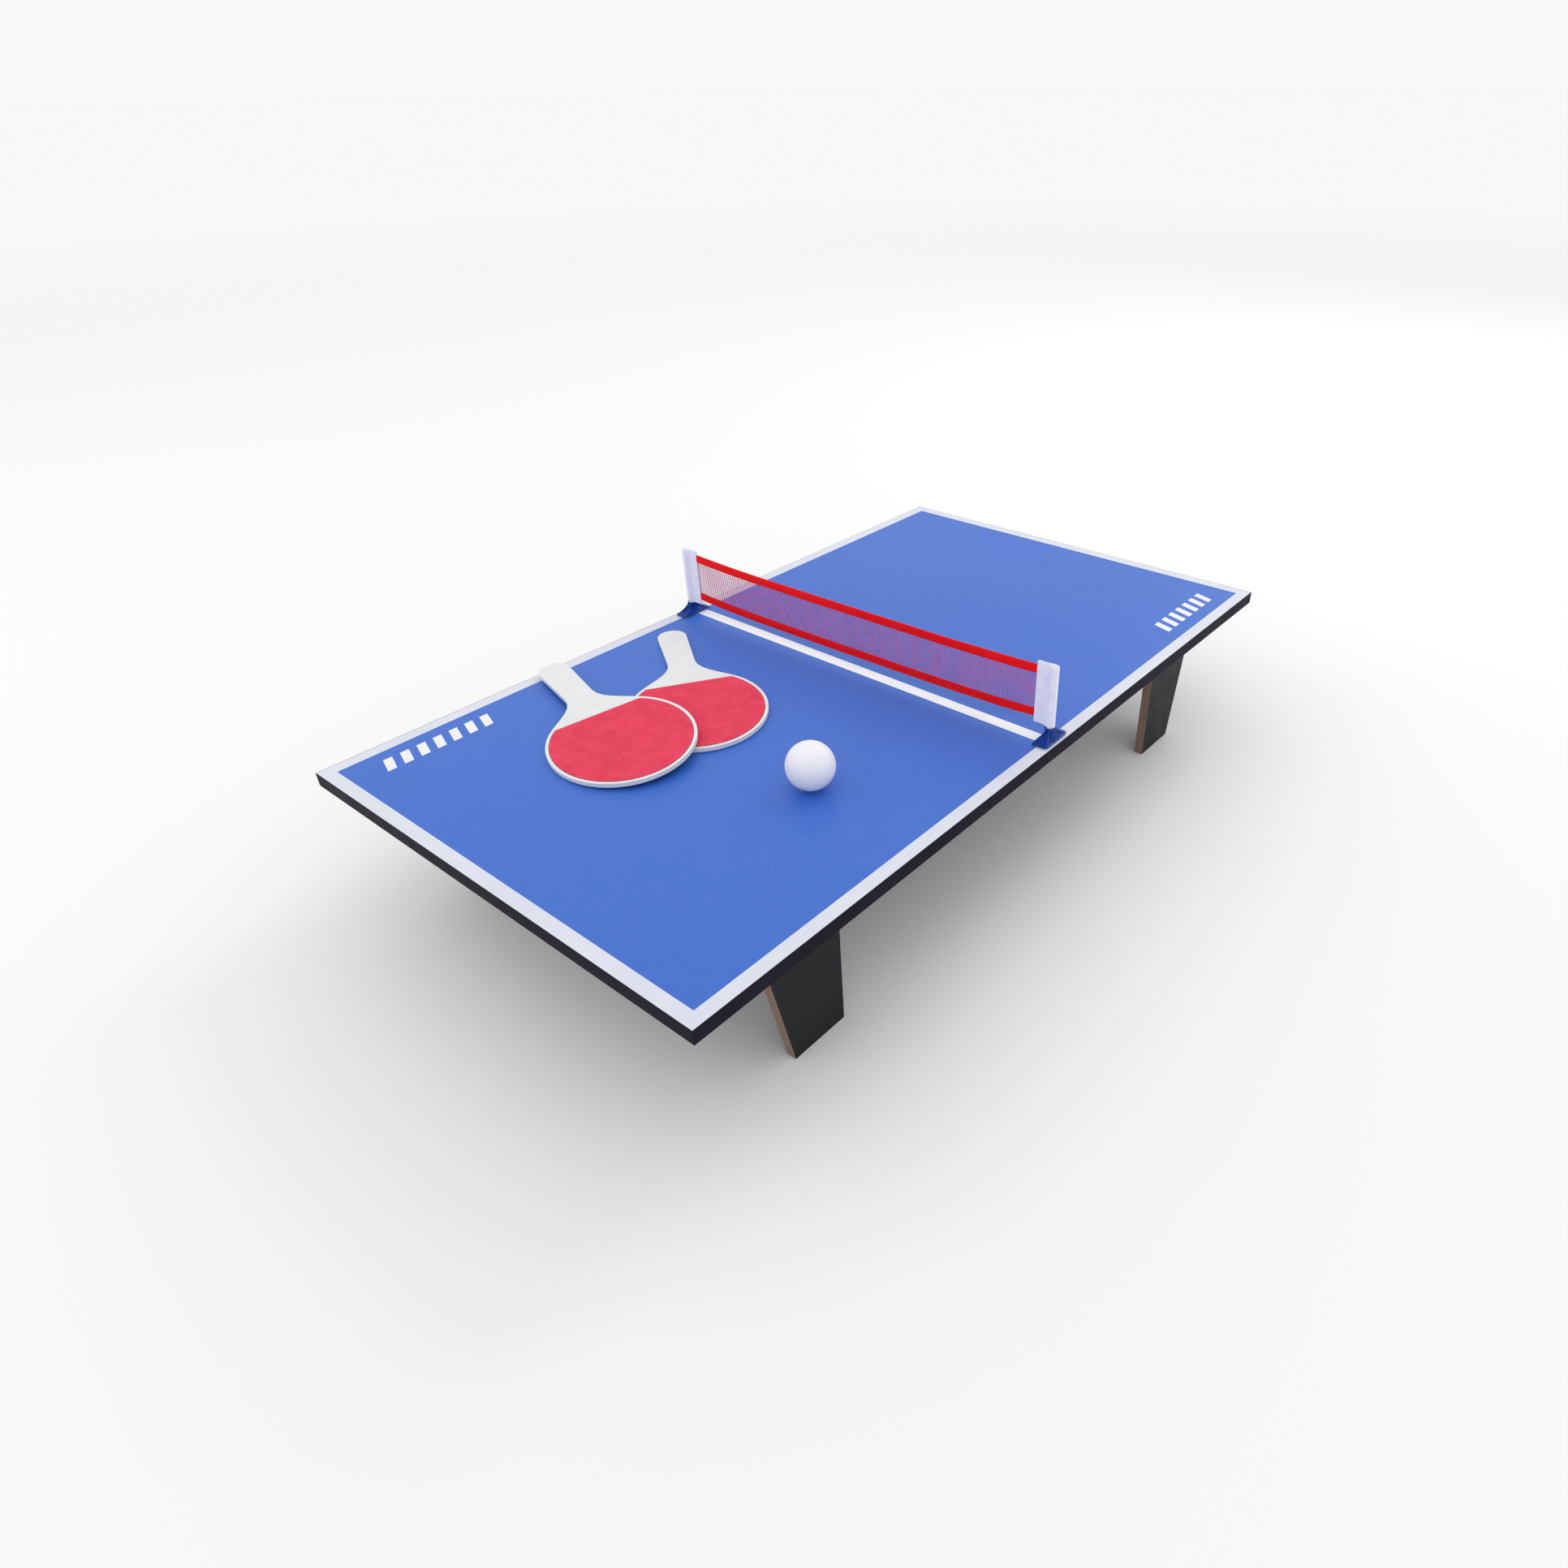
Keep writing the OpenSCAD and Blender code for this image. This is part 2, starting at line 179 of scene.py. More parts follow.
def put(tree, kind, inputs=None, **settings):
    """A node of that kind; an input given as a socket is linked, any other value is set."""
    made = tree.nodes.new("ShaderNode" + kind)
    for key, value in settings.items():
        setattr(made, key, value)
    for key, value in (inputs or {}).items():
        if isinstance(value, bpy.types.NodeSocket):
            tree.links.new(value, made.inputs[key])
        else:
            made.inputs[key].default_value = value
    return made


def work_out(tree, operation, first, second=0.0):
    return put(tree, "Math", {0: first, 1: second}, operation=operation).outputs[0]


def open_group(name, inputs, output):
    """A node group that takes Place and named numbers, and gives one mask or height."""
    tree = bpy.data.node_groups.new(name, "ShaderNodeTree")
    tree.interface.new_socket("Place", in_out="INPUT", socket_type="NodeSocketVector")
    for label, value in inputs.items():
        socket = tree.interface.new_socket(label, in_out="INPUT", socket_type="NodeSocketFloat")
        socket.default_value = value
    tree.interface.new_socket(output, in_out="OUTPUT", socket_type="NodeSocketFloat")
    return tree, tree.nodes.new("NodeGroupInput").outputs, tree.nodes.new("NodeGroupOutput").inputs


def mix_colour(tree, mask, first, second):
    return put(tree, "Mix", {0: mask, 6: first, 7: second}, data_type="RGBA").outputs[2]


# %% [markdown]
# ## Grain, mottle and fibre
# Printed foil and moulded plastic have a fine orange-peel grain, and every large face is a little uneven
# in tone. Both are noise, at very different sizes. Fibreboard shows fine fibres pressed flat, so its noise
# is squeezed in height. Each is a group with a Size in metres, so that one group serves many finishes.

# %% Grain groups


def noise_group(name, detail, output, squeeze=(1, 1, 1), contrast=None):
    tree, given, result = open_group(name, {"Size": 0.001}, output)
    scale = work_out(tree, "DIVIDE", 1.0, given["Size"])
    place = put(tree, "Mapping", {"Vector": given["Place"], "Scale": squeeze}).outputs[0]
    value = put(tree, "TexNoise", {"Vector": place, "Scale": scale, "Detail": detail}).outputs[0]
    if contrast:
        value = put(tree, "MapRange", {0: value, 1: 0.5 - contrast, 2: 0.5 + contrast}).outputs[0]
    tree.links.new(value, result[output])
    return tree


grain = noise_group("fine_grain", 2.0, "Height")
mottle = noise_group("mottle", 3.0, "Mask", contrast=0.22)
fibres = noise_group("pressed_fibres", 4.0, "Height", squeeze=(1, 1, 3.5), contrast=0.3)
print("noise groups:", grain.name, mottle.name, fibres.name)

# %% [markdown]
# ## Weave, ribs, cells and spangle
# Cloth could be given a picture of a weave, but two crossing sine waves make a plain weave at any size.
# The binding tape is ribbed across its length, which is one wave. Foam has closed cells and zinc plating
# has crystals: both are Voronoi cells, read as a distance for the foam and as a shade for the zinc.

# %% Pattern groups


def wave(tree, place, axis, pitch):
    """A sine along one axis that repeats every pitch."""
    along = put(tree, "SeparateXYZ", {0: place}).outputs[axis]
    turns = work_out(tree, "DIVIDE", along, pitch)
    return work_out(tree, "SINE", work_out(tree, "MULTIPLY", turns, 2 * math.pi))


def weave_group():
    tree, given, result = open_group("plain_weave", {"Size": 0.001}, "Height")
    across = wave(tree, given["Place"], "Y", given["Size"])
    up = wave(tree, given["Place"], "Z", given["Size"])
    both = work_out(tree, "MULTIPLY", across, up)
    tree.links.new(work_out(tree, "MULTIPLY_ADD", both, 0.5), result["Height"])
    return tree


def rib_group():
    tree, given, result = open_group("cross_ribs", {"Size": 0.001}, "Height")
    ribs = wave(tree, given["Place"], "Y", given["Size"])
    picks = wave(tree, given["Place"], "Z", given["Size"])
    tree.links.new(work_out(tree, "ADD", ribs, work_out(tree, "MULTIPLY", picks, 0.35)), result["Height"])
    return tree


def cell_group(name, feature, channel, output):
    tree, given, result = open_group(name, {"Size": 0.001}, output)
    scale = work_out(tree, "DIVIDE", 1.0, given["Size"])
    cells = put(tree, "TexVoronoi", {"Vector": given["Place"], "Scale": scale}, feature=feature)
    tree.links.new(cells.outputs[channel], result[output])
    return tree


weave, ribs = weave_group(), rib_group()
foam_cells = cell_group("foam_cells", "DISTANCE_TO_EDGE", "Distance", "Height")
spangle = cell_group("zinc_spangle", "F1", "Distance", "Height")
print("pattern groups:", weave.name, ribs.name, foam_cells.name, spangle.name)

# %% [markdown]
# ## Edge wear, painted highlights and dust
# Handling rubs the corners of boards and bats, and dust settles on what faces up. The same edge mask also
# paints a highlight along the ribs and edges of the net feet. The Bevel node gives the normal of a rounded
# edge: where it differs from the true normal there is an edge, and noise breaks the mark up so that it
# isn't an even line. Dust is noise on faces whose normal points up.

# %% Wear, painted highlight and dust groups


def scuff_and_highlight_group():
    tree, given, result = open_group("edge_scuff_and_highlight", {"Width": 0.001, "Amount": 0.5, "Size": 0.004}, "Mask")
    rounded = put(tree, "Bevel", {"Radius": given["Width"]}, samples=6).outputs[0]
    true = put(tree, "NewGeometry").outputs["Normal"]
    alike = put(tree, "VectorMath", {0: rounded, 1: true}, operation="DOT_PRODUCT").outputs["Value"]
    edge = put(tree, "MapRange", {0: alike, 1: 0.995, 2: 0.80}).outputs[0]
    scale = work_out(tree, "DIVIDE", 1.0, given["Size"])
    scuff_and_highlight_noise = put(tree, "TexNoise", {"Vector": given["Place"], "Scale": scale, "Detail": 4.0}).outputs[0]
    low = work_out(tree, "SUBTRACT", 0.75, work_out(tree, "MULTIPLY", given["Amount"], 0.5))
    broken = put(tree, "MapRange", {0: scuff_and_highlight_noise, 1: low, 2: work_out(tree, "ADD", low, 0.12)}).outputs[0]
    tree.links.new(work_out(tree, "MULTIPLY", edge, broken), result["Mask"])
    return tree


def dust_group():
    tree, given, result = open_group("settled_dust", {"Amount": 0.1, "Size": 0.01}, "Mask")
    upness = put(tree, "SeparateXYZ", {0: put(tree, "NewGeometry").outputs["Normal"]}).outputs["Z"]
    facing = put(tree, "MapRange", {0: upness, 1: 0.2, 2: 1.0}).outputs[0]
    scale = work_out(tree, "DIVIDE", 1.0, given["Size"])
    specks = put(tree, "TexNoise", {"Vector": given["Place"], "Scale": scale, "Detail": 8.0}).outputs[0]
    lit = put(tree, "MapRange", {0: specks, 1: 0.42, 2: 0.75}).outputs[0]
    tree.links.new(work_out(tree, "MULTIPLY", work_out(tree, "MULTIPLY", facing, lit), given["Amount"]),
                   result["Mask"])
    return tree


scuff_and_highlight, dust = scuff_and_highlight_group(), dust_group()
print("shared effects:", scuff_and_highlight.name, dust.name)

# %% [markdown]
# ## One recipe for every finish
# Each finish has two close tones that the mottle mixes, a range of roughness, a pattern that lifts the
# surface by a real depth, and perhaps marked edges and dust. The edge marks are wear, except on the net
# feet, where they are a painted highlight. One function builds that graph, and the finishes below differ
# in what they pass to it. What is the same all over a surface, such as its sheen, is set on the shader's
# own socket.

# %% The finish recipe
DUST_TONE = (0.72, 0.71, 0.69, 1)
FINISHES = {}


def use_group(tree, group, place, output, **numbers):
    node = tree.nodes.new("ShaderNodeGroup")
    node.node_tree = group
    tree.links.new(place, node.inputs["Place"])
    for label, value in numbers.items():
        node.inputs[label].default_value = value
    return node.outputs[output]


def make_finish(name, colours, roughness, pattern, size, depth,
                patch=0.05, tone=0.0, scuffs_and_highlights=None, dusty=0.0, **shader):
    """colours are the two tones, depth is the pattern's height, and the edge mark is (colour, width, amount):
    wear, and on the net feet a painted highlight.
    """
    material = bpy.data.materials.new(name)
    material.use_nodes = True
    tree = material.node_tree
    principled = tree.nodes["Principled BSDF"]
    place = put(tree, "TexCoord").outputs["Object"]
    patches = use_group(tree, mottle, place, "Mask", Size=patch)
    height = use_group(tree, pattern, place, "Height", Size=size)
    mask = patches
    if tone:
        share = put(tree, "MapRange", {0: height, 3: 0.0, 4: tone}).outputs[0]
        mask = put(tree, "Math", {0: patches, 1: 1 - tone, 2: share}, operation="MULTIPLY_ADD").outputs[0]
    colour = mix_colour(tree, mask, (*colours[0], 1), (*colours[1], 1))
    rough = put(tree, "MapRange", {0: patches, 3: roughness[0], 4: roughness[1]}).outputs[0]
    if scuffs_and_highlights:
        scuff_and_highlight_mask = use_group(tree, scuff_and_highlight, place, "Mask", Width=scuffs_and_highlights[1], Amount=scuffs_and_highlights[2])
        colour = mix_colour(tree, scuff_and_highlight_mask, colour, (*scuffs_and_highlights[0], 1))
    if dusty:
        film = use_group(tree, dust, place, "Mask", Amount=dusty)
        colour = mix_colour(tree, film, colour, DUST_TONE)
        rough = work_out(tree, "ADD", rough, work_out(tree, "MULTIPLY", film, 0.5))
    lifted = put(tree, "Bump", {"Height": height, "Distance": depth})
    tree.links.new(colour, principled.inputs["Base Color"])
    tree.links.new(rough, principled.inputs["Roughness"])
    tree.links.new(lifted.outputs[0], principled.inputs["Normal"])
    for socket, value in shader.items():
        principled.inputs[socket.replace("_", " ")].default_value = value
    FINISHES[name] = material


# %% [markdown]
# ## Finishes of the table
# The court is a printed foil: a satin blue with a fine grain, and white lines, of which the centre line is
# the brightest. The edge is black banding, rubbed at its corners. The legs are the same fibreboard, black
# on the faces and sawn raw on the edges, where the brown fibres show.

# %% Table finishes
RAW_BROWN = (0.235, 0.150, 0.110)
make_finish("raw_board", ((0.17, 0.105, 0.080), (0.30, 0.20, 0.150)), (0.75, 0.95), fibres, 0.0011,
            0.00012, patch=0.012, tone=0.7)
make_finish("court_blue", ((0.027, 0.132, 0.575), (0.032, 0.141, 0.600)), (0.42, 0.50), grain, 0.0007,
            0.000012, patch=0.20, dusty=0.012)
make_finish("court_white", ((0.67, 0.70, 0.80), (0.72, 0.745, 0.83)), (0.45, 0.56), grain, 0.0007,
            0.000012, patch=0.03, scuffs_and_highlights=((0.45, 0.46, 0.53), 0.0003, 0.20), dusty=0.05)
make_finish("printed_white", ((0.80, 0.82, 0.90), (0.86, 0.87, 0.93)), (0.38, 0.48), grain, 0.0005,
            0.00001, patch=0.02)
make_finish("backing_black", ((0.020, 0.020, 0.024), (0.032, 0.032, 0.037)), (0.5, 0.7), grain, 0.0009,
            0.00003, patch=0.07, dusty=0.02)
make_finish("edge_black", ((0.009, 0.008, 0.014), (0.016, 0.014, 0.027)), (0.40, 0.55), grain, 0.0006,
            0.00002, patch=0.02, scuffs_and_highlights=((0.16, 0.14, 0.15), 0.00015, 0.30), dusty=0.004,
            Specular_IOR_Level=0.03)
make_finish("leg_black", ((0.007, 0.008, 0.010), (0.014, 0.015, 0.019)), (0.40, 0.58), grain, 0.0009,
            0.00003, patch=0.02, scuffs_and_highlights=(RAW_BROWN, 0.0009, 0.42), dusty=0.03, Specular_IOR_Level=0.14)
print("table finishes:", len(FINISHES))

# %% [markdown]
# ## Finishes of the fittings, cloth and toys
# Hinges, pins and screws are zinc plated, which is a metal with faint crystals. The net's feet are glossy
# blue plastic. The sleeves are white cotton, the tapes are red ribbed binding, and the net is pink thread.
# The bats are white enamel, with matt red rubber, and the ball is a satin white shell that light enters a
# little, which is what subsurface does.

# %% Fitting, cloth and toy finishes
for steel in ("hinge_steel", "pin_steel", "screw_steel"):
    make_finish(steel, ((0.50, 0.50, 0.51), (0.66, 0.66, 0.68)), (0.24, 0.42), spangle, 0.0022, 0.00001,
                patch=0.006, tone=0.35, scuffs_and_highlights=((0.82, 0.82, 0.83), 0.0003, 0.5), Metallic=1.0)
make_finish("foam_pad", ((0.62, 0.62, 0.60), (0.74, 0.74, 0.72)), (0.8, 0.95), foam_cells, 0.0005, 0.00008,
            patch=0.004)
# On the net feet the edge colour is a painted highlight: a bright blue line along every rib and edge
make_finish("base_blue", ((0.001, 0.024, 0.205), (0.002, 0.038, 0.275)), (0.22, 0.32), grain, 0.0012,
            0.00001, patch=0.01, scuffs_and_highlights=((0.06, 0.30, 0.80), 0.0004, 1.0), Specular_IOR_Level=0.16)
make_finish("post_white", ((0.66, 0.66, 0.72), (0.74, 0.74, 0.80)), (0.3, 0.42), grain, 0.0006, 0.00001,
            patch=0.008)
make_finish("sleeve_white", ((0.75, 0.745, 0.92), (0.86, 0.855, 0.97)), (0.78, 0.92), weave, 0.0011, 0.00007,
            patch=0.009, Sheen_Weight=0.25, Sheen_Roughness=0.5)
make_finish("sleeve_thread", ((0.86, 0.86, 0.93), (0.93, 0.93, 0.97)), (0.6, 0.75), grain, 0.0003, 0.00003,
            patch=0.004, Sheen_Weight=0.3)
make_finish("mesh_pink", ((0.45, 0.06, 0.25), (0.56, 0.10, 0.32)), (0.55, 0.75), grain, 0.0004, 0.00003,
            patch=0.012, Sheen_Weight=0.1)
make_finish("tape_red", ((0.88, 0.002, 0.004), (0.98, 0.005, 0.008)), (0.62, 0.78), ribs, 0.0009, 0.00006,
            patch=0.02, tone=0.35, Specular_IOR_Level=0.15)
make_finish("tape_thread", ((0.42, 0.002, 0.005), (0.55, 0.005, 0.01)), (0.5, 0.65), grain, 0.0003,
            0.00003, patch=0.004, Sheen_Weight=0.2)
make_finish("bat_white", ((0.735, 0.755, 0.76), (0.79, 0.81, 0.815)), (0.34, 0.46), grain, 0.0011, 0.00002,
            patch=0.018, scuffs_and_highlights=((0.62, 0.62, 0.60), 0.0006, 0.28), dusty=0.03)
make_finish("rubber_red", ((0.74, 0.030, 0.088), (0.84, 0.047, 0.117)), (0.62, 0.78), grain, 0.0004,
            0.00003, patch=0.02, dusty=0.04)
# The rubber's edge colour is a painted shade: the dark line of the shadowed gap between rubber and rim
make_finish("rubber_edge_painted_shade", ((0.22, 0.008, 0.022), (0.34, 0.014, 0.036)), (0.7, 0.85), grain, 0.0004,
            0.00003, patch=0.01)
make_finish("ball_white", ((0.80, 0.80, 0.85), (0.84, 0.84, 0.88)), (0.36, 0.46), grain, 0.0005, 0.00001,
            patch=0.012, Subsurface_Weight=1.0, Subsurface_Radius=(1.0, 1.0, 1.05),
            Subsurface_Scale=0.045)
print("finishes:", len(FINISHES))

# %% [markdown]
# ## Tools for pieces
# A imported part is a mesh of loose triangles with knife-sharp edges, and it stays as it is. Its copy is
# merged, its flat faces are joined again, and its sharp edges are bevelled, as sawn, moulded and pressed
# parts really are. Another helper then keeps a finished piece: it rides on the body it moves with, and the
# packed parts it stands for are hidden.

# %% Piece helpers
SHARP = math.radians(35)


def keep_piece(name, bm, finishes, body, slot, stands_for=(), even=False):
    """Turns a bmesh into a finished piece that rides on a body."""
    mesh = bpy.data.meshes.new(name)
    for face in bm.faces:
        face.smooth = True
    for edge in bm.edges:
        edge.smooth = len(edge.link_faces) == 2 and edge.calc_face_angle(0) < SHARP
    bm.to_mesh(mesh)
    bm.free()
    for finish in finishes:
        mesh.materials.append(FINISHES[finish])
    piece = bpy.data.objects.new(name, mesh)
    scene.collection.objects.link(piece)
    if even:
        piece.modifiers.new("even_normals", "WEIGHTED_NORMAL").keep_sharp = True
    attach(piece, body)
    if stands_for:
        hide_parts(*stands_for)
    return piece


def merged_copy(node):
    """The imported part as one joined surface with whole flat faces."""
    bm = bmesh.new()
    bm.from_mesh(frame["nodes"][node].data)
    bmesh.ops.remove_doubles(bm, verts=bm.verts, dist=0.002 * MM)
    bmesh.ops.dissolve_limit(bm, angle_limit=math.radians(0.4), verts=bm.verts, edges=bm.edges)
    return bm


def soften(bm, width, segments=2, above=SHARP, finish=-1):
    """Bevels every edge that is sharper than an angle; the strips may take another finish."""
    edges = [e for e in bm.edges if len(e.link_faces) == 2 and e.calc_face_angle(0) > above]
    bmesh.ops.bevel(bm, geom=edges, offset=width, offset_type="OFFSET", segments=segments, profile=0.5,
                    affect="EDGES", clamp_overlap=True, material=finish)


def draw_on(bm, edges):
    """Extrudes a ring or a line of edges, and gives the new edges and their new ends."""
    drawn = bmesh.ops.extrude_edge_only(bm, edges=edges)["geom"]
    return ([g for g in drawn if isinstance(g, bmesh.types.BMEdge)],
            [g for g in drawn if isinstance(g, bmesh.types.BMVert)])


def body_of(node):
    return frame["nodes"][node]["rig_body"]


# %% [markdown]
# ## Table top
# The foils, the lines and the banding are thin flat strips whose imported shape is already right, so they
# keep it and only take their finish. The banding alone is rebuilt, because its corners catch a thin line
# of light where they are rounded.

# %% Dress the table top
DRESSED = {"board_core": "raw_board", "court_foil": "court_blue", "centre_line": "printed_white",
           "court_marks": "printed_white", "backing_foil": "backing_black"}
DRESSED.update({f"boundary_line_{edge}": "court_white" for edge in EDGES})
for node, finish in DRESSED.items():
    mesh = frame["nodes"][node].data
    mesh.materials.clear()
    mesh.materials.append(FINISHES[finish])
for edge in EDGES:
    strip = merged_copy(f"edge_band_{edge}")
    soften(strip, 0.12 * MM)
    keep_piece(f"banding_{edge}", strip, ["edge_black"], "table", "edge_black", [f"edge_band_{edge}"],
               even=True)
print("dressed parts:", len(DRESSED), " bands:", len(EDGES))

# %% [markdown]
# ## Legs
# A leg is a sawn board: two black faces, and raw edges all round. It could be one material that looks at
# the normal, but a real board changes finish at the cut, so the faces that look sideways get the black
# foil and the rest stay raw fibreboard. The bevel comes first, and its strips count as raw.

# %% Build the leg boards
for corner in CORNERS:
    board = merged_copy(f"leg_{corner}")
    soften(board, 0.3 * MM)
    for face in board.faces:
        face.material_index = 0 if abs(face.normal.y) > 0.99 else 1
    keep_piece(f"leg_board_{corner}", board, ["leg_black", "raw_board"], body_of(f"leg_{corner}"),
               "leg_black", [f"leg_{corner}"], even=True)
print("leg boards:", len(CORNERS))

# %% [markdown]
# ## Hinges
# A butt hinge is pressed from sheet: two leaves whose knuckles are rolled round a pin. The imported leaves
# have the knuckles and the screw holes, so bevelled copies keep the fit and lose the knife edges.

# %% Build the hinges
HINGE_PARTS = [("hinge_table_leaf", "hinge_steel", 0.12 * MM), ("hinge_leg_leaf", "hinge_steel", 0.12 * MM),
               ("hinge_pin", "pin_steel", 0.25 * MM)]
for corner in CORNERS:
    for part, finish, width in HINGE_PARTS:
        node = f"{part}_{corner}"
        metal = merged_copy(node)
        soften(metal, width)
        keep_piece(f"{node}_metal", metal, [finish], body_of(node), finish, [node], even=True)
print("hinge pieces:", len(HINGE_PARTS) * len(CORNERS))

# %% [markdown]
# ## Screws
# Countersunk screws show only their heads: a flat disc with a cross recess. The head's face is filled
# between a circle and a cross, the cross is pushed in, and the circle is drawn down into the cone, the
# shank and the point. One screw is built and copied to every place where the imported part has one.

# %% Build the screws
HEAD_R, SHANK_R, HEAD_DEEP, SCREW_L = 2.45 * MM, 1.35 * MM, 1.0 * MM, 8.0 * MM
CROSS_LONG, CROSS_WIDE, CROSS_DEEP = 1.35 * MM, 0.35 * MM, 0.7 * MM


def build_screw():
    """A screw whose head face is at the origin, pointing up."""
    bm = bmesh.new()
    bmesh.ops.create_circle(bm, segments=24, radius=HEAD_R)
    rim = bm.edges[:]
    quarter = [(CROSS_LONG, -CROSS_WIDE), (CROSS_LONG, CROSS_WIDE), (CROSS_WIDE, CROSS_WIDE)]
    points = [bm.verts.new(Matrix.Rotation(math.pi / 2 * k, 3, "Z") @ Vector((x, y, 0)))
              for k in range(4) for x, y in quarter]
    cross = [bm.edges.new((points[i - 1], points[i])) for i in range(len(points))]
    bmesh.ops.triangle_fill(bm, use_beauty=True, edges=rim + cross)
    pushed, floor_verts = draw_on(bm, cross)
    bmesh.ops.scale(bm, verts=floor_verts, vec=(0.7, 0.7, 1))
    bmesh.ops.translate(bm, verts=floor_verts, vec=(0, 0, CROSS_DEEP))
    bmesh.ops.triangle_fill(bm, use_beauty=True,
                            edges=[e for e in pushed if all(v in floor_verts for v in e.verts)])
    ring = rim
    for radius, depth in ((SHANK_R, HEAD_DEEP), (SHANK_R, SCREW_L - 2 * MM), (0.2 * MM, SCREW_L)):
        ring, ring_verts = draw_on(bm, ring)
        for v in ring_verts:
            v.co = Vector((v.co.x, v.co.y, 0)).normalized() * radius + Vector((0, 0, depth))
    bmesh.ops.contextual_create(bm, geom=ring)
    bmesh.ops.recalc_face_normals(bm, faces=bm.faces)
    mesh = bpy.data.meshes.new("one_screw")
    bm.to_mesh(mesh)
    bm.free()
    return mesh


def screw_places(node):
    """The bounds of each screw in a packed group, from its loose shells."""
    bm = merged_copy(node)
    todo, found = set(bm.verts), []
    while todo:
        shell, edge_of = set(), {next(iter(todo))}
        while edge_of:
            shell |= edge_of
            edge_of = {e.other_vert(v) for v in edge_of for e in v.link_edges} - shell
        todo -= shell
        points = [v.co.copy() for v in shell]
        low = Vector([min(p[i] for p in points) for i in range(3)])
        high = Vector([max(p[i] for p in points) for i in range(3)])
        found.append((low, high))
    bm.free()
    return sorted(found, key=lambda ends: tuple(ends[0]))


def build_screw_group(node, axis, sign):
    """Every screw of a packed group; each points along an axis with that sign."""
    direction = Vector([sign if i == axis else 0 for i in range(3)])
    turned = Vector((0, 0, 1)).rotation_difference(direction).to_matrix().to_4x4()
    bm = bmesh.new()
    for k, (low, high) in enumerate(screw_places(node)):
        face = (low + high) / 2
        face[axis] = low[axis] if sign > 0 else high[axis]
        spin = Matrix.Rotation(math.radians(25 * k), 4, "Z")
        before = len(bm.verts)
        bm.from_mesh(one_screw)
        bm.verts.ensure_lookup_table()
        bmesh.ops.transform(bm, matrix=Matrix.Translation(face) @ turned @ spin, verts=bm.verts[before:])
    keep_piece(f"{node}_crosshead", bm, ["screw_steel"], body_of(node), "screw_steel", [node])


one_screw = build_screw()
build_screw_group("table_hinge_screws", 2, 1)
for corner in CORNERS:
    build_screw_group(f"leg_screws_{corner}", 1, 1 if "back" in corner else -1)
print("screws:", len(screw_places("table_hinge_screws")) + 4 * len(screw_places("leg_screws_back_left")))

# %% [markdown]
# ## Net feet
# Each foot is a blue moulding: a thin plate that sweeps up in hollow curves to a boss, with a rib from the
# boss to each corner. It is drawn up ring by ring from a circle: a formula gives each ring's outline,
# which is a rounded rectangle at the bottom, round at the top, and hollowed between the ribs.
#
# The whole net stands slightly askew on the table. Its pieces are drawn square to the table first and
# turned at the end, so that every formula can stay in the net's own frame.

# %% Build the net feet
NET_TURN = Matrix.Rotation(math.radians(1.3), 4, "Z")
RINGS, AROUND = 18, 128
RIB_WIDE = 0.8 * MM
BOSS_R, BORE_R, BORE_FLOOR = 4.5 * MM, 3.15 * MM, 2 * MM
PLATE_T, PLATE_STEP = 1.2 * MM, 0.9 * MM
CORNER_SQUARE = 9
HOLLOW_CURVE, RIDGE_CURVE = 4.5, 1.5


def square_box(node):
    """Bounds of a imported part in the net's own frame."""
    points = [NET_TURN.inverted() @ v.co for v in frame["nodes"][node].data.vertices]
    return tuple(Vector([pick(p[i] for p in points) for i in range(3)]) for pick in (min, max))


def keep_turned(name, bm, *settings):
    """Turns a piece of the net to its place and keeps it."""
    bmesh.ops.transform(bm, matrix=NET_TURN, verts=bm.verts)
    return keep_piece(name, bm, *settings)


def foot_radius(angle, half_l, half_w, share):
    """Outline of the foot at a share of its height: 0 is the plate's top, 1 the boss."""
    c, s = abs(math.cos(angle)), abs(math.sin(angle))
    outer = ((c / half_l) ** CORNER_SQUARE + (s / half_w) ** CORNER_SQUARE) ** (-1 / CORNER_SQUARE)
    corner = math.atan2(half_w, half_l)
    near = abs(math.atan2(s, c) - corner) * outer
    rib = math.exp(-((near / RIB_WIDE) ** 2)) if share < 1 else 0
    hollow = (1 - share) ** HOLLOW_CURVE
    ridge = (1 - share) ** RIDGE_CURVE
    inset = PLATE_STEP if share > 0 else 0
    return BOSS_R + (outer - inset - BOSS_R) * (hollow + (ridge - hollow) * rib)


